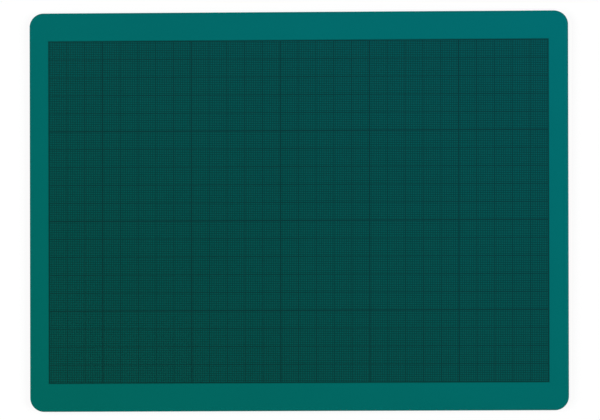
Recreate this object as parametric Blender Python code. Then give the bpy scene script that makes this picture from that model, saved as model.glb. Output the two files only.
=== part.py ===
# A craft cutting mat of the A4 class: three bonded plies of vinyl sheet, die-cut to one outline,
# with a field of millimetre rulings printed on the cutting face.
#
# Metres, +Z up. The underside lies on Z = 0 with the origin at its middle, +X runs along the
# long side and +Y towards the far long side. The rulings are counted from the +X and +Y borders.

import math

import bmesh
import bpy

# The die-cut outline, shared by the three plies
MAT_LENGTH = 0.302
MAT_WIDTH = 0.222
CORNER_RADIUS = 0.0078
CORNER_STEPS = 12

# The plies, from the table up
BOTTOM_SKIN_THICKNESS = 0.0009
CORE_THICKNESS = 0.00118
TOP_SKIN_THICKNESS = 0.0009
# Hairline of clear space in each bond, so that two plies never share a face
BOND_GAP = 0.00001
# The stiff core ends a little inside the soft skins, which spread under the cutting die
CORE_SETBACK = 0.00006

# The die drags the upper arris over into a wide shallow shoulder and leaves the lower one crisp
SHOULDER_WIDTH = 0.0011
SHOULDER_DROP = 0.00045
LOWER_ARRIS = 0.00015
ARRIS_STEPS = 4
# An arris takes at most this share of its ply, so that some upright wall is always left
MOST_OF_PLY = 0.8

# The printed field: whole steps that fit inside the bare margins
LEAST_END_MARGIN = 0.0108
LEAST_SIDE_MARGIN = 0.0158
RULING_STEP = 0.001
STEPS_PER_MEDIUM_LINE = 10
STEPS_PER_HEAVY_LINE = 50
INK_THICKNESS = 0.00002
FINE_LINE = 0.00032
MEDIUM_LINE = 0.0005
HEAVY_LINE = 0.0007
BORDER_LINE = 0.0006

# Colours are linear
SKIN_GREEN = (0.0004, 0.141, 0.134)
REVERSE_GREEN = (0.0006, 0.118, 0.106)
CORE_GREEN = (0.012, 0.052, 0.046)
INK_GREEN = (0.002, 0.04, 0.038)


def clear_scene():
    for found in list(bpy.data.objects):
        bpy.data.objects.remove(found, do_unlink=True)


def plastic(name, colour, roughness):
    material = bpy.data.materials.new(name)
    material.use_nodes = True
    shader = material.node_tree.nodes["Principled BSDF"]
    shader.inputs["Base Color"].default_value = (*colour, 1.0)
    shader.inputs["Roughness"].default_value = roughness
    shader.inputs["Metallic"].default_value = 0.0
    material.diffuse_color = (*colour, 1.0)
    return material


def add_object(name, bm, material, parent, height):
    """The mesh as a named object under the parent, its own origin at the given height."""
    mesh = bpy.data.meshes.new(name)
    bm.to_mesh(mesh)
    bm.free()
    mesh.materials.append(material)
    made = bpy.data.objects.new(name, mesh)
    bpy.context.scene.collection.objects.link(made)
    made.parent = parent
    made.location.z = height
    return made


def outline(inset):
    """The mat's rounded rectangle, anticlockwise from above, drawn in by the inset."""
    reach_x = MAT_LENGTH / 2 - CORNER_RADIUS
    reach_y = MAT_WIDTH / 2 - CORNER_RADIUS
    radius = CORNER_RADIUS - inset
    points = []
    for quarter, (side_x, side_y) in enumerate(((1, 1), (-1, 1), (-1, -1), (1, -1))):
        for step in range(CORNER_STEPS + 1):
            angle = (quarter + step / CORNER_STEPS) * math.pi / 2
            x = side_x * reach_x + radius * math.cos(angle)
            y = side_y * reach_y + radius * math.sin(angle)
            points.append((x, y))
    return points


def rounded_arris(width, drop):
    """(inset, drop below the face) of points round an arris, from the wall to the face."""
    points = []
    for step in range(ARRIS_STEPS + 1):
        angle = step / ARRIS_STEPS * math.pi / 2
        points.append((width * (1 - math.cos(angle)), drop * (1 - math.sin(angle))))
    return points


def ply(name, profile, material, parent, height):
    """A sheet lofted through the mat's outline, one ring for each (inset, height) of its edge."""
    bm = bmesh.new()
    rings = []
    for inset, level in profile:
        rings.append([bm.verts.new((x, y, level)) for x, y in outline(inset)])
    for lower, upper in zip(rings, rings[1:]):
        for here in range(len(lower)):
            beyond = (here + 1) % len(lower)
            bm.faces.new((lower[here], lower[beyond], upper[beyond], upper[here]))
    bm.faces.new(reversed(rings[0]))
    bm.faces.new(rings[-1])
    made = add_object(name, bm, material, parent, height)
    made.data.shade_smooth()
    made.data.set_sharp_from_angle(angle=math.radians(40))
    return made


def bottom_skin(parent):
    """The plain reverse, which lies on the table."""
    arris = min(LOWER_ARRIS, MOST_OF_PLY * BOTTOM_SKIN_THICKNESS)
    underside = [(inset, drop) for inset, drop in reversed(rounded_arris(arris, arris))]
    profile = underside + [(0.0, BOTTOM_SKIN_THICKNESS)]
    ply("bottom_skin", profile, plastic("reverse vinyl", REVERSE_GREEN, 0.55), parent, 0.0)
    return BOTTOM_SKIN_THICKNESS


def core_sheet(parent, seat):
    """The stiff sheet that a blade can't pass."""
    profile = [(CORE_SETBACK, 0.0), (CORE_SETBACK, CORE_THICKNESS)]
    ply("core_sheet", profile, plastic("core vinyl", CORE_GREEN, 0.5), parent, seat)
    return seat + CORE_THICKNESS


def top_skin(parent, seat):
    """The soft ply that closes over a cut, with the arris that the die rolled over."""
    drop = min(SHOULDER_DROP, MOST_OF_PLY * TOP_SKIN_THICKNESS)
    shoulder = rounded_arris(SHOULDER_WIDTH, drop)
    profile = [(0.0, 0.0)] + [(inset, TOP_SKIN_THICKNESS - fall) for inset, fall in shoulder]
    ply("top_skin", profile, plastic("cutting vinyl", SKIN_GREEN, 0.5), parent, seat)
    return seat + TOP_SKIN_THICKNESS


def steps_across(mat_side, least_margin):
    """How many whole steps of the ruling fit between the two margins."""
    room = mat_side - 2 * least_margin
    return math.floor(room / RULING_STEP)


def line_width(count_from_border, steps):
    if count_from_border in (0, steps):
        return BORDER_LINE
    if count_from_border % STEPS_PER_HEAVY_LINE == 0:
        return HEAVY_LINE
    if count_from_border % STEPS_PER_MEDIUM_LINE == 0:
        return MEDIUM_LINE
    return FINE_LINE


def line_edges(steps):
    """The two edges of every line, from the last border to the one that the count starts at."""
    edges = []
    for count in range(steps, -1, -1):
        middle = (steps / 2 - count) * RULING_STEP
        half = line_width(count, steps) / 2
        edges += [middle - half, middle + half]
    return edges


def ruling(name, steps, steps_along, material, parent, height):
    """Ink lines one step apart along X, tied together at both ends by the border lines."""
    border = steps_along * RULING_STEP / 2
    half = BORDER_LINE / 2
    levels = (-border - half, -border + half, border - half, border + half)
    bm = bmesh.new()
    columns = []
    for x in line_edges(steps):
        columns.append([bm.verts.new((x, y, 0.0)) for y in levels])
    for number, (left, right) in enumerate(zip(columns, columns[1:])):
        inked = number % 2 == 0
        for strip in ((0, 1, 2) if inked else (0, 2)):
            bm.faces.new((left[strip], right[strip], right[strip + 1], left[strip + 1]))
    made = add_object(name, bm, material, parent, height)
    film = made.modifiers.new("ink film", "SOLIDIFY")
    film.thickness = INK_THICKNESS
    film.offset = 1.0
    return made


def printed_field(parent, seat):
    """The rulings both ways, the lines along X laid over those along Y."""
    across = steps_across(MAT_LENGTH, LEAST_END_MARGIN)
    along = steps_across(MAT_WIDTH, LEAST_SIDE_MARGIN)
    ink = plastic("ruling ink", INK_GREEN, 0.45)
    first = seat + BOND_GAP
    second = first + INK_THICKNESS + BOND_GAP
    ruling("grid_lines_upright", across, along, ink, parent, first)
    level = ruling("grid_lines_level", along, across, ink.copy(), parent, second)
    level.rotation_euler.z = math.pi / 2
    return second + INK_THICKNESS


def cutting_mat():
    clear_scene()
    mat = bpy.data.objects.new("cutting_mat", None)
    bpy.context.scene.collection.objects.link(mat)
    top = bottom_skin(mat)
    top = core_sheet(mat, top + BOND_GAP)
    top = top_skin(mat, top + BOND_GAP)
    top = printed_field(mat, top)
    print(f"cutting mat {MAT_LENGTH * 1000:.1f} x {MAT_WIDTH * 1000:.1f} x {top * 1000:.2f} mm")


cutting_mat()
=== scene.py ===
# Looks of the craft cutting mat: three bonded vinyl plies, printed millimetre rulings, a pale table.
import math

import bpy
from mathutils import Euler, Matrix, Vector


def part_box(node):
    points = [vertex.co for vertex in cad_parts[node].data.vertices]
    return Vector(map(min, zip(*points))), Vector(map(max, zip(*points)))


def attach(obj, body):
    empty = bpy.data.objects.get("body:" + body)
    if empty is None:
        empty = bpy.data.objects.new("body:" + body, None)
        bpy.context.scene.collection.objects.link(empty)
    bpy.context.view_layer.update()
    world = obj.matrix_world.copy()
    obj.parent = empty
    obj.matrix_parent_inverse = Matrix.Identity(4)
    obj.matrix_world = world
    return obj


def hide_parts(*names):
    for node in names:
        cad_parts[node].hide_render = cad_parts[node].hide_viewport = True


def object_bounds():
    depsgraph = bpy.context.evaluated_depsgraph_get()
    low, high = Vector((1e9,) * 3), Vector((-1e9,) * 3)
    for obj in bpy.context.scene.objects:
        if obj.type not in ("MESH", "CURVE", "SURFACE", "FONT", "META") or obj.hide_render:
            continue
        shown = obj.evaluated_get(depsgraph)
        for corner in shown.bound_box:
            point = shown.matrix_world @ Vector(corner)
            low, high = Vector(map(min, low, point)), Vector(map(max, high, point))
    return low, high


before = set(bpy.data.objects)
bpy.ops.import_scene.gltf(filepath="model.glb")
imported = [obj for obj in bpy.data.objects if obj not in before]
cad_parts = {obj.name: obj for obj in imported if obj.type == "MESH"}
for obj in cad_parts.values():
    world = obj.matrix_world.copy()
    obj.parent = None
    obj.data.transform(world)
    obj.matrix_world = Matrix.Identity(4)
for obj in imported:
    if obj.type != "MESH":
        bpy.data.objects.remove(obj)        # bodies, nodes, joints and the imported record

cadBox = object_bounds()     # kept from before anything is added
print("frame loaded, nodes:", ", ".join(sorted(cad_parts)))


# Small helpers for node trees, shaders and geometry alike

def addNode(tree, kind, **settings):
    node = tree.nodes.new(kind)
    for name, value in settings.items():
        setattr(node, name, value)
    return node


def feed(tree, value, socket):
    # a socket is linked, anything else is typed in
    if isinstance(value, bpy.types.NodeSocket):
        tree.links.new(value, socket)
    else:
        socket.default_value = value


def calc(tree, operation, *values):
    node = addNode(tree, "ShaderNodeMath", operation=operation)
    for value, socket in zip(values, node.inputs):
        feed(tree, value, socket)
    return node.outputs[0]


def minus(tree, value):
    return calc(tree, "MULTIPLY", value, -1.0)


def vector(tree, **parts):
    node = addNode(tree, "ShaderNodeCombineXYZ")
    for axis, value in parts.items():
        feed(tree, value, node.inputs[axis])
    return node.outputs[0]


def scaled(tree, value, factor):
    node = addNode(tree, "ShaderNodeVectorMath", operation="SCALE")
    tree.links.new(value, node.inputs[0])
    feed(tree, factor, node.inputs["Scale"])
    return node.outputs[0]


def fromTo(tree, value, low, high, atLow, atHigh, smooth=False):
    # value runs from low to high, and the result from atLow to atHigh
    node = addNode(tree, "ShaderNodeMapRange")
    node.interpolation_type = "SMOOTHSTEP" if smooth else "LINEAR"
    for given, name in ((value, "Value"), (low, "From Min"), (high, "From Max"),
                        (atLow, "To Min"), (atHigh, "To Max")):
        feed(tree, given, node.inputs[name])
    return node.outputs["Result"]


def noise(tree, place, scale, detail, rough):
    # scale is how many of its clouds or grains there are to the metre
    node = addNode(tree, "ShaderNodeTexNoise")
    node.inputs["Scale"].default_value = scale
    node.inputs["Detail"].default_value = detail
    node.inputs["Roughness"].default_value = rough
    tree.links.new(place, node.inputs["Vector"])
    return node.outputs["Fac"]


noiseSpan = (0.3, 0.7)      # noise seldom leaves this, so this much covers the whole spread


def about(tree, fac, middle, spread):
    return fromTo(tree, fac, *noiseSpan, middle - spread, middle + spread)


def mixed(tree, share, first, second, blend="MIX"):
    # a mix node has sockets for every kind of data, and these are the ones for colours
    node = addNode(tree, "ShaderNodeMix", data_type="RGBA", blend_type=blend)
    feed(tree, share, node.inputs[0])
    feed(tree, first, node.inputs[6])
    feed(tree, second, node.inputs[7])
    return node.outputs[2]


def bumped(tree, height, distance, before=None):
    node = addNode(tree, "ShaderNodeBump")
    node.inputs["Distance"].default_value = distance
    tree.links.new(height, node.inputs["Height"])
    if before is not None:
        tree.links.new(before, node.inputs["Normal"])
    return node.outputs["Normal"]


def newMaterial(name):
    material = bpy.data.materials.new(name)
    material.use_nodes = True
    tree = material.node_tree
    shader = tree.nodes["Principled BSDF"]
    place = addNode(tree, "ShaderNodeTexCoord").outputs["Object"]
    return material, tree, shader, place


# Camera: far off and nearly overhead, leaned so that the mat's length comes out as in the photograph

cameraSet = {
    "lens": 1078.8,                     # millimetres
    "distance": 10.0,
    "aim": (0.00093, 0.00079, 0.003),   # the point at the middle of the picture
    "lean": (1.14, 7.64, -0.125),       # degrees about X, Y and Z
}


def placeCamera():
    camera = bpy.data.objects.new("camera", bpy.data.cameras.new("camera"))
    bpy.context.scene.collection.objects.link(camera)
    camera.data.lens = cameraSet["lens"]
    turn = Euler([math.radians(a) for a in cameraSet["lean"]])
    camera.rotation_euler = turn
    away = turn.to_matrix() @ Vector((0, 0, cameraSet["distance"]))
    camera.location = Vector(cameraSet["aim"]) + away
    bpy.context.scene.camera = camera
    print("camera placed")


# Light: a large soft lamp to each side, and a room that is pale round the horizon

roomSet = {
    "lampAway": 1.8,          # metres from the mat
    "lampAngle": 56.0,        # degrees off the upright
    "lampSize": (0.9, 1.5),
    "lampPower": 26.0,        # watts
    # grey of the room by height, from 0 straight below to 1 straight above
    "room": ((0.45, 0.9), (0.5, 1.0), (0.6, 1.0), (0.8, 0.02)),
    "floorSize": 30.0,
    "floorDrop": 0.00002,
    "floorWhite": 0.9,
    "floorGlow": 0.85,        # share of the floor that the camera sees as plain white
    "glowStrength": 1.03,
    "underGap": 0.0005,       # a ray that starts this near the floor, below the mat, passes it
}


def grey(level):
    return (level, level, level, 1.0)


def hangLamps():
    for side, name in ((-1, "lamp left"), (1, "lamp right")):
        lamp = bpy.data.lights.new(name, "AREA")
        lamp.shape = "RECTANGLE"
        lamp.size, lamp.size_y = roomSet["lampSize"]
        lamp.energy = roomSet["lampPower"]
        holder = bpy.data.objects.new(name, lamp)
        bpy.context.scene.collection.objects.link(holder)
        angle = math.radians(roomSet["lampAngle"]) * side
        holder.rotation_euler = (0, angle, 0)
        holder.location = Vector((math.sin(angle), 0, math.cos(angle))) * roomSet["lampAway"]
        holder.visible_camera = False
    print("lamps hung")


def paleRoom():
    world = bpy.data.worlds.new("pale room")
    bpy.context.scene.world = world
    world.use_nodes = True
    tree = world.node_tree
    split = addNode(tree, "ShaderNodeSeparateXYZ")
    tree.links.new(addNode(tree, "ShaderNodeTexCoord").outputs["Generated"], split.inputs[0])
    ramp = addNode(tree, "ShaderNodeValToRGB")
    tree.links.new(fromTo(tree, split.outputs["Z"], -1.0, 1.0, 0.0, 1.0), ramp.inputs["Fac"])
    stops = ramp.color_ramp.elements
    while len(stops) < len(roomSet["room"]):
        stops.new(1.0)
    for stop, (height, level) in zip(stops, roomSet["room"]):
        stop.position = height
        stop.color = grey(level)
    tree.links.new(ramp.outputs["Color"], tree.nodes["Background"].inputs["Color"])
    print("room lit")


def tableWhite():
    # matt white that takes the mat's shadow, seen mostly as plain white;
    # it is clear from below, and to light on its way to the reverse, so that a view
    # from below shows the reverse lit
    material = bpy.data.materials.new("white table")
    material.use_nodes = True
    tree = material.node_tree
    tree.nodes.remove(tree.nodes["Principled BSDF"])
    ray = addNode(tree, "ShaderNodeLightPath").outputs
    shown = calc(tree, "MAXIMUM", ray["Is Camera Ray"], ray["Is Glossy Ray"])
    shown = calc(tree, "MAXIMUM", shown, ray["Is Transmission Ray"])
    matt = addNode(tree, "ShaderNodeBsdfDiffuse")
    matt.inputs["Color"].default_value = grey(roomSet["floorWhite"])
    glow = addNode(tree, "ShaderNodeEmission")
    glow.inputs["Strength"].default_value = roomSet["glowStrength"]
    clear = addNode(tree, "ShaderNodeBsdfTransparent")
    fromAbove = addNode(tree, "ShaderNodeMixShader")
    tree.links.new(calc(tree, "MULTIPLY", shown, roomSet["floorGlow"]), fromAbove.inputs["Fac"])
    tree.links.new(matt.outputs[0], fromAbove.inputs[1])
    tree.links.new(glow.outputs[0], fromAbove.inputs[2])
    either = addNode(tree, "ShaderNodeMixShader")
    below = addNode(tree, "ShaderNodeNewGeometry").outputs["Backfacing"]
    near = calc(tree, "LESS_THAN", ray["Ray Length"], roomSet["underGap"])
    tree.links.new(calc(tree, "MAXIMUM", below, near), either.inputs["Fac"])
    tree.links.new(fromAbove.outputs[0], either.inputs[1])
    tree.links.new(clear.outputs[0], either.inputs[2])
    tree.links.new(either.outputs[0], tree.nodes["Material Output"].inputs["Surface"])
    return material


def layFloor():
    half = roomSet["floorSize"] / 2
    mesh = bpy.data.meshes.new("floor")
    corners = [(-half, -half), (half, -half), (half, half), (-half, half)]
    mesh.from_pydata([(x, y, -roomSet["floorDrop"]) for x, y in corners], [], [(0, 1, 2, 3)])
    mesh.materials.append(tableWhite())
    floor = bpy.data.objects.new("floor", mesh)
    bpy.context.scene.collection.objects.link(floor)
    print("floor laid")


# Painted light: a slow cast of colour and brightness runs over the whole mat, dimmer and warmer at
# the near left, brighter and bluer towards the far right; faint clouds of the pigment's own tone
# ride on it

paintedLightAndCloudSet = {
    "reach": (0.29, 0.206),             # metres along and across that each make half of the painted cast of light
    "near": (0.9, 0.935, 0.81, 1.0),    # painted light: multiplies the colour at the near left corner
    "far": (1.1, 1.07, 1.19, 1.0),      # and at the far right one
    "clouds": (14.0, 3.0, 0.5),         # a noise: how many to the metre, its detail and roughness
    "cloudDepth": 0.02,
}


def withPaintedLightAndClouds(tree, place, colour, share=1.0):
    # a painted cast of light across the mat, times faint clouds of tone
    split = addNode(tree, "ShaderNodeSeparateXYZ")
    tree.links.new(place, split.inputs[0])
    along = calc(tree, "DIVIDE", split.outputs["X"], 2 * paintedLightAndCloudSet["reach"][0])
    across = calc(tree, "DIVIDE", split.outputs["Y"], 2 * paintedLightAndCloudSet["reach"][1])
    # with a full share, 0 at the near left corner and 1 at the far right one
    where = calc(tree, "MULTIPLY_ADD", calc(tree, "ADD", along, across), share, 0.5)
    paintedCast = mixed(tree, where, paintedLightAndCloudSet["near"], paintedLightAndCloudSet["far"])
    clouds = about(tree, noise(tree, place, *paintedLightAndCloudSet["clouds"]), 1.0, paintedLightAndCloudSet["cloudDepth"])
    return scaled(tree, mixed(tree, 1.0, colour, paintedCast, "MULTIPLY"), clouds)


# Vinyl: calendered sheet with a fine stipple, cut through at the edge by the die

# each noise: how many to the metre, its detail and roughness
vinylSet = {
    "specular": 0.06,
    "sheenTint": (0.25, 1.0, 0.95, 1.0),    # hardly any red comes back off the pigmented skin
    "patches": (60.0, 4.0, 0.6),            # of handling sheen
    "patchSheen": 0.03,                     # how far they move the roughness
    "wallLean": (0.2, 0.9),                 # upright parts of the normal between which a wall begins
    "wallRough": 0.06,                      # how much rougher the cut wall is
    "arrisLean": (0.96, 0.998),             # and those between which the arris begins
    "arrisPaintedShade": 0.93,                     # painted shade: the rolled arris darker, as where it tilts away from the light
    "dragLines": (1500.0, 2.0, 0.6),        # up and down the cut wall
    "dragHeight": 0.00003,
    "dragStretch": 0.05,                    # how often they change upwards, against along the wall
    "sway": (12.0, 1.0, 0.5),               # broad unevenness of a sheet that lies loose
    "swayHeight": 0.0002,
    "speckle": 0.045,                       # how far the stipple moves the colour
}

# for each sheet: its share of the painted cast of light that runs over the mat, and grain, a noise
sheetSet = {
    "cutting": {
        "colour": (0.0004, 0.141, 0.134, 1.0),
        "paintedLightShare": 1.0,
        "roughness": 0.42,
        "grain": (2600.0, 3.0, 0.6),
        "grainHeight": 0.00003,
    },
    "reverse": {
        "colour": (0.0006, 0.118, 0.106, 1.0),
        "paintedLightShare": 0.35,
        "roughness": 0.47,
        "grain": (1500.0, 3.0, 0.6),
        "grainHeight": 0.00003,
    },
    "core": {
        "colour": (0.012, 0.052, 0.046, 1.0),
        "paintedLightShare": 1.0,
        "roughness": 0.44,
        "grain": (3500.0, 3.0, 0.6),
        "grainHeight": 0.000008,
    },
}

shadeSet = {
    "colour": (0.0006, 0.1043, 0.0958, 1.0),    # less light comes back from between the lines
    "bleed": 0.0004,                            # how far this reaches past the border line
    "soft": 0.00012,                            # half the width over which it fades out
}


def printShade(tree, place):
    # 1 under the printed field and 0 on the bare margins
    low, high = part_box("grid_lines_upright")
    split = addNode(tree, "ShaderNodeSeparateXYZ")
    tree.links.new(place, split.inputs[0])
    inside = []
    for axis, reach in (("X", high.x), ("Y", high.y)):
        edge = reach + shadeSet["bleed"]
        away = calc(tree, "ABSOLUTE", split.outputs[axis])
        within, beyond = edge - shadeSet["soft"], edge + shadeSet["soft"]
        inside.append(fromTo(tree, away, within, beyond, 1.0, 0.0, True))
    return calc(tree, "MULTIPLY", *inside)


def leaning(tree, steep, flat):
    # 1 where the upright part of the surface's normal is below steep, 0 where it is above flat
    split = addNode(tree, "ShaderNodeSeparateXYZ")
    tree.links.new(addNode(tree, "ShaderNodeNewGeometry").outputs["Normal"], split.inputs[0])
    return fromTo(tree, calc(tree, "ABSOLUTE", split.outputs["Z"]), steep, flat, 1.0, 0.0, True)


def vinyl(name, kind, printed):
    sheet = sheetSet[kind]
    material, tree, shader, place = newMaterial(name)
    shader.inputs["Specular IOR Level"].default_value = vinylSet["specular"]
    shader.inputs["Specular Tint"].default_value = vinylSet["sheenTint"]
    wall = leaning(tree, *vinylSet["wallLean"])
    arris = leaning(tree, *vinylSet["arrisLean"])

    stipple = noise(tree, place, *sheet["grain"])
    upright = addNode(tree, "ShaderNodeMapping")
    upright.inputs["Scale"].default_value = (1.0, 1.0, vinylSet["dragStretch"])
    tree.links.new(place, upright.inputs["Vector"])
    drag = calc(tree, "MULTIPLY", noise(tree, upright.outputs[0], *vinylSet["dragLines"]), wall)
    normal = bumped(tree, noise(tree, place, *vinylSet["sway"]), vinylSet["swayHeight"])
    normal = bumped(tree, stipple, sheet["grainHeight"], normal)
    normal = bumped(tree, drag, vinylSet["dragHeight"], normal)
    tree.links.new(normal, shader.inputs["Normal"])

    patches = noise(tree, place, *vinylSet["patches"])
    rough = about(tree, patches, sheet["roughness"], vinylSet["patchSheen"])
    rough = calc(tree, "ADD", rough, calc(tree, "MULTIPLY", wall, vinylSet["wallRough"]))
    tree.links.new(rough, shader.inputs["Roughness"])

    colour = sheet["colour"]
    if printed:
        colour = mixed(tree, printShade(tree, place), colour, shadeSet["colour"])
    # painted light: the cast of colour and brightness across the mat, with clouds of tone
    colour = withPaintedLightAndClouds(tree, place, colour, sheet["paintedLightShare"])
    colour = scaled(tree, colour, about(tree, stipple, 1.0, vinylSet["speckle"]))
    # painted shade darkens the rolled arris
    colour = scaled(tree, colour, fromTo(tree, arris, 0.0, 1.0, 1.0, vinylSet["arrisPaintedShade"]))
    tree.links.new(colour, shader.inputs["Base Color"])
    return material


# Ink: one thin dark film, a little uneven

inkSet = {
    "colour": (0.002, 0.0367, 0.0348, 1.0),
    "roughness": 0.4,
    "specular": 0.06,
    "mottle": (700.0, 3.0, 0.6),
    "mottleDepth": 0.03,
    "mottleSheen": 0.05,            # how far it moves the roughness
    "skin": (5000.0, 2.0, 0.5),     # fine unevenness of the dried film
    "skinHeight": 0.000004,
}


def rulingInk():
    material, tree, shader, place = newMaterial("ruling ink")
    shader.inputs["Specular IOR Level"].default_value = inkSet["specular"]
    # the same painted cast of light across the mat, with clouds of tone
    colour = withPaintedLightAndClouds(tree, place, inkSet["colour"])
    mottle = noise(tree, place, *inkSet["mottle"])
    colour = scaled(tree, colour, about(tree, mottle, 1.0, inkSet["mottleDepth"]))
    tree.links.new(colour, shader.inputs["Base Color"])
    rough = about(tree, mottle, inkSet["roughness"], inkSet["mottleSheen"])
    tree.links.new(rough, shader.inputs["Roughness"])
    normal = bumped(tree, noise(tree, place, *inkSet["skin"]), inkSet["skinHeight"])
    tree.links.new(normal, shader.inputs["Normal"])
    return material


# Geometry trees: each begins with its named sizes and ends as one painted mesh

quarterTurn = math.pi / 2
halfTurn = math.pi
creaseAngle = math.radians(40)      # edges that turn more than this stay sharp


def newTree(name, sizes):
    tree = bpy.data.node_groups.new(name, "GeometryNodeTree")
    tree.interface.new_socket("Geometry", in_out="OUTPUT", socket_type="NodeSocketGeometry")
    for label, kind in sizes.items():
        tree.interface.new_socket(label, in_out="INPUT", socket_type="NodeSocket" + kind)
    return tree, addNode(tree, "NodeGroupInput").outputs


def endTree(tree, geometry, material):
    real = addNode(tree, "GeometryNodeRealizeInstances")
    tree.links.new(geometry, real.inputs[0])
    painted = addNode(tree, "GeometryNodeSetMaterial")
    tree.links.new(real.outputs[0], painted.inputs["Geometry"])
    tree.links.new(material, painted.inputs["Material"])
    tree.links.new(painted.outputs[0], addNode(tree, "NodeGroupOutput").inputs["Geometry"])


def moved(tree, geometry, **changes):
    node = addNode(tree, "GeometryNodeTransform")
    tree.links.new(geometry, node.inputs["Geometry"])
    for name, value in changes.items():
        tree.links.new(value, node.inputs[name])
    return node.outputs[0]


def joined(tree, *shapes):
    node = addNode(tree, "GeometryNodeJoinGeometry")
    for shape in shapes:
        tree.links.new(shape, node.inputs[0])
    return node.outputs[0]


def lineBetween(tree, start, end):
    node = addNode(tree, "GeometryNodeCurvePrimitiveLine")
    tree.links.new(start, node.inputs["Start"])
    tree.links.new(end, node.inputs["End"])
    return node.outputs[0]


def arcOf(tree, points, radius, start, sweep):
    node = addNode(tree, "GeometryNodeCurveArc", mode="RADIUS")
    for name, value in (("Resolution", points), ("Radius", radius),
                        ("Start Angle", start), ("Sweep Angle", sweep)):
        feed(tree, value, node.inputs[name])
    return node.outputs["Curve"]


def swept(tree, path, profile, capped=False):
    node = addNode(tree, "GeometryNodeCurveToMesh")
    node.inputs["Fill Caps"].default_value = capped
    tree.links.new(path, node.inputs["Curve"])
    tree.links.new(profile, node.inputs["Profile Curve"])
    return node.outputs[0]


def switched(tree, chosen, otherwise, value):
    pick = addNode(tree, "GeometryNodeSwitch", input_type="FLOAT")
    tree.links.new(chosen, pick.inputs["Switch"])
    feed(tree, otherwise, pick.inputs["False"])
    feed(tree, value, pick.inputs["True"])
    return pick.outputs[0]


def makePiece(name, tree, sizes, node):
    piece = bpy.data.objects.new(name, bpy.data.meshes.new(name + " host"))
    bpy.context.scene.collection.objects.link(piece)
    maker = piece.modifiers.new(tree.name, "NODES")
    maker.node_group = tree
    for socket in tree.interface.items_tree:
        if socket.in_out == "INPUT":
            maker[socket.identifier] = sizes[socket.name]
    graph = bpy.context.evaluated_depsgraph_get()
    mesh = bpy.data.meshes.new_from_object(piece.evaluated_get(graph), depsgraph=graph)
    piece.modifiers.remove(maker)
    piece.data = mesh
    mesh.shade_smooth()
    mesh.set_sharp_from_angle(angle=creaseAngle)
    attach(piece, "root")
    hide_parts(node)
    print(name, "made,", len(mesh.polygons), "faces")


# Plies: the edge's profile swept round the die-cut outline, and a flat face on each side

plySet = {
    "cornerRadius": 0.0078,
    "cornerSteps": 36,
    "shoulder": (0.0011, 0.00045),      # how far the die drags the upper arris in and down
    "lowerArris": (0.00015, 0.00015),
    "seamArris": (0.00004, 0.00004),
    "roundSteps": 10,
    "flatBand": 0.0008,                 # flat strip beside each arris, where its shading ends
    "weld": 0.000001,
}


def plyTree():
    tree, given = newTree("die-cut ply", {
        "Length": "Float", "Width": "Float", "Bottom": "Float", "Top": "Float",
        "Corner Radius": "Float", "Corner Steps": "Int", "Round Steps": "Int",
        "Lower Inset": "Float", "Lower Rise": "Float", "Upper Inset": "Float", "Upper Drop": "Float",
        "Flat Band": "Float", "Weld": "Float", "Vinyl": "Material"})

    sheet = addNode(tree, "GeometryNodeCurvePrimitiveQuadrilateral")
    tree.links.new(given["Length"], sheet.inputs["Width"])
    tree.links.new(given["Width"], sheet.inputs["Height"])
    rounded = addNode(tree, "GeometryNodeFilletCurve", mode="POLY")
    tree.links.new(sheet.outputs[0], rounded.inputs["Curve"])
    tree.links.new(given["Corner Steps"], rounded.inputs["Count"])
    tree.links.new(given["Corner Radius"], rounded.inputs["Radius"])
    standing = addNode(tree, "GeometryNodeSetCurveNormal", mode="Z_UP")
    tree.links.new(rounded.outputs[0], standing.inputs["Curve"])
    outline = standing.outputs[0]

    def place(out, height):
        # the sweep lays a profile's X outwards and its Y downwards
        return vector(tree, X=out, Y=minus(tree, height))

    def arris(inset, rise, middle, start):
        points = calc(tree, "ADD", given["Round Steps"], 1.0)
        turn = arcOf(tree, points, 1.0, start, -quarterTurn)
        squash = vector(tree, X=inset, Y=minus(tree, rise), Z=1.0)
        centre = place(minus(tree, inset), middle)
        return moved(tree, turn, Scale=squash, Translation=centre)

    wallFoot = calc(tree, "ADD", given["Bottom"], given["Lower Rise"])
    wallHead = calc(tree, "SUBTRACT", given["Top"], given["Upper Drop"])
    # every stretch of the profile runs down the edge, so that the swept faces look outwards
    profile = [arris(given["Upper Inset"], given["Upper Drop"], wallHead, quarterTurn),
               lineBetween(tree, place(0.0, wallHead), place(0.0, wallFoot)),
               arris(given["Lower Inset"], given["Lower Rise"], wallFoot, 0.0)]

    faces = []
    outwards = addNode(tree, "GeometryNodeInputNormal").outputs["Normal"]
    for side, inset, level in (("lower", given["Lower Inset"], given["Bottom"]),
                               ("upper", given["Upper Inset"], given["Top"])):
        bandEnd = calc(tree, "ADD", inset, given["Flat Band"])
        ends = [place(minus(tree, inset), level),
                place(minus(tree, bandEnd), level)]
        profile.append(lineBetween(tree, *(ends if side == "lower" else ends[::-1])))
        drawnIn = addNode(tree, "GeometryNodeSetPosition")
        inwards = scaled(tree, outwards, minus(tree, bandEnd))
        tree.links.new(outline, drawnIn.inputs["Geometry"])
        tree.links.new(inwards, drawnIn.inputs["Offset"])
        face = addNode(tree, "GeometryNodeFillCurve", mode="NGONS")
        tree.links.new(drawnIn.outputs[0], face.inputs[0])
        if side == "lower":
            turned = addNode(tree, "GeometryNodeFlipFaces")
            tree.links.new(face.outputs[0], turned.inputs[0])
            face = turned
        faces.append(moved(tree, face.outputs[0], Translation=vector(tree, Z=level)))

    edge = swept(tree, outline, joined(tree, *profile))
    welded = addNode(tree, "GeometryNodeMergeByDistance")
    tree.links.new(joined(tree, edge, *faces), welded.inputs["Geometry"])
    tree.links.new(given["Weld"], welded.inputs["Distance"])
    endTree(tree, welded.outputs[0], given["Vinyl"])
    return tree


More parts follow.
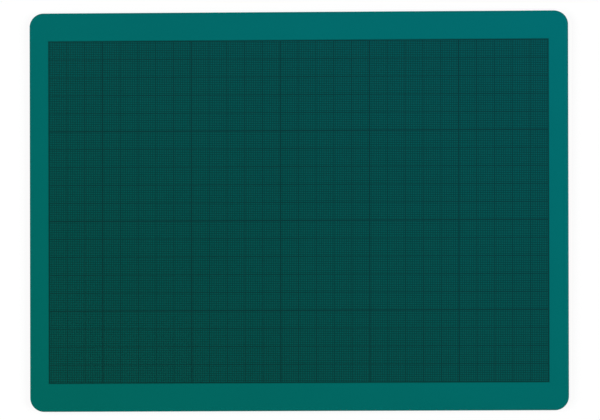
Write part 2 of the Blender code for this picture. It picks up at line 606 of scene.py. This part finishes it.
def makePlies():
    tree = plyTree()
    seam = plySet["seamArris"]
    plies = (
        ("bottom_ply", "bottom_skin", "reverse", plySet["lowerArris"], seam),
        ("core_ply", "core_sheet", "core", seam, seam),
        ("cutting_ply", "top_skin", "cutting", seam, plySet["shoulder"]),
    )
    for name, node, kind, lower, upper in plies:
        low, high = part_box(node)
        setback = cadBox[1].x - high.x
        makePiece(name, tree, {
            "Length": high.x - low.x,
            "Width": high.y - low.y,
            "Bottom": low.z,
            "Top": high.z,
            "Corner Radius": plySet["cornerRadius"] - setback,
            "Corner Steps": plySet["cornerSteps"],
            "Round Steps": plySet["roundSteps"],
            "Lower Inset": lower[0],
            "Lower Rise": lower[1],
            "Upper Inset": upper[0],
            "Upper Drop": upper[1],
            "Flat Band": plySet["flatBand"],
            "Weld": plySet["weld"],
            "Vinyl": vinyl(kind + " vinyl", kind, kind == "cutting"),
        }, node)
    print("plies laid up")


# Rulings: one tree prints them, once for each way

rulingSet = {
    "step": 0.001,
    "fine": 0.00032,
    "medium": 0.0005,
    "heavy": 0.0007,
    "border": 0.0006,
    "stepsPerMedium": 10,
    "stepsPerHeavy": 50,
    "domePoints": 5,
}


def rulingTree():
    tree, given = newTree("printed ruling", {
        "Lines": "Int", "Per Medium": "Int", "Per Heavy": "Int", "Step": "Float", "Run": "Float",
        "Fine": "Float", "Medium": "Float", "Heavy": "Float", "Border": "Float",
        "Film": "Float", "Dome Points": "Int", "Turn": "Float", "Seat": "Float", "Ink": "Material"})

    last = calc(tree, "SUBTRACT", given["Lines"], 1.0)
    row = addNode(tree, "GeometryNodeMeshLine", mode="OFFSET")
    tree.links.new(given["Lines"], row.inputs["Count"])
    halfField = calc(tree, "MULTIPLY", calc(tree, "MULTIPLY", last, given["Step"]), 0.5)
    tree.links.new(vector(tree, X=halfField), row.inputs["Start Location"])
    tree.links.new(vector(tree, X=minus(tree, given["Step"])), row.inputs["Offset"])

    # which line is it, counted from the border, and how wide does that make it;
    # the counts are whole, so one half tells none from one
    count = addNode(tree, "GeometryNodeInputIndex").outputs[0]
    medium = calc(tree, "LESS_THAN", calc(tree, "MODULO", count, given["Per Medium"]), 0.5)
    heavy = calc(tree, "LESS_THAN", calc(tree, "MODULO", count, given["Per Heavy"]), 0.5)
    border = calc(tree, "MAXIMUM", calc(tree, "LESS_THAN", count, 0.5),
                  calc(tree, "GREATER_THAN", count, calc(tree, "SUBTRACT", last, 0.5)))
    width = given["Fine"]
    width = switched(tree, medium, width, given["Medium"])
    width = switched(tree, heavy, width, given["Heavy"])
    width = switched(tree, border, width, given["Border"])

    # one line, a metre wide: a low dome swept along its run
    half = calc(tree, "MULTIPLY", given["Run"], 0.5)
    run = lineBetween(tree, vector(tree, Y=minus(tree, half)), vector(tree, Y=half))
    dome = addNode(tree, "GeometryNodeSetSplineCyclic")
    dome.inputs["Cyclic"].default_value = True
    bow = arcOf(tree, given["Dome Points"], 0.5, halfTurn, halfTurn)
    tree.links.new(bow, dome.inputs["Geometry"])
    squat = vector(tree, X=1.0, Y=calc(tree, "MULTIPLY", given["Film"], 2.0), Z=1.0)
    strip = swept(tree, run, moved(tree, dome.outputs[0], Scale=squat), True)

    lines = addNode(tree, "GeometryNodeInstanceOnPoints")
    tree.links.new(row.outputs["Mesh"], lines.inputs["Points"])
    tree.links.new(strip, lines.inputs["Instance"])
    tree.links.new(vector(tree, X=width, Y=1.0, Z=1.0), lines.inputs["Scale"])
    laid = moved(tree, lines.outputs[0], Rotation=vector(tree, Z=given["Turn"]),
                 Translation=vector(tree, Z=given["Seat"]))
    endTree(tree, laid, given["Ink"])
    return tree


def printRulings():
    tree = rulingTree()
    ink = rulingInk()
    for name, node, turned in (("upright_rulings", "grid_lines_upright", False),
                               ("level_rulings", "grid_lines_level", True)):
        low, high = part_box(node)
        spread, run = high.x - low.x, high.y - low.y
        if turned:
            spread, run = run, spread
        # the spread is whole steps and one line's width
        makePiece(name, tree, {
            "Lines": int(spread / rulingSet["step"]) + 1,
            "Per Medium": rulingSet["stepsPerMedium"],
            "Per Heavy": rulingSet["stepsPerHeavy"],
            "Step": rulingSet["step"],
            "Run": run,
            "Fine": rulingSet["fine"],
            "Medium": rulingSet["medium"],
            "Heavy": rulingSet["heavy"],
            "Border": rulingSet["border"],
            "Film": high.z - low.z,
            "Dome Points": rulingSet["domePoints"],
            "Turn": quarterTurn if turned else 0.0,
            "Seat": low.z,
            "Ink": ink,
        }, node)
    print("rulings printed")


bpy.context.scene.view_settings.view_transform = "Standard"
placeCamera()
hangLamps()
paleRoom()
layFloor()
makePlies()
printRulings()
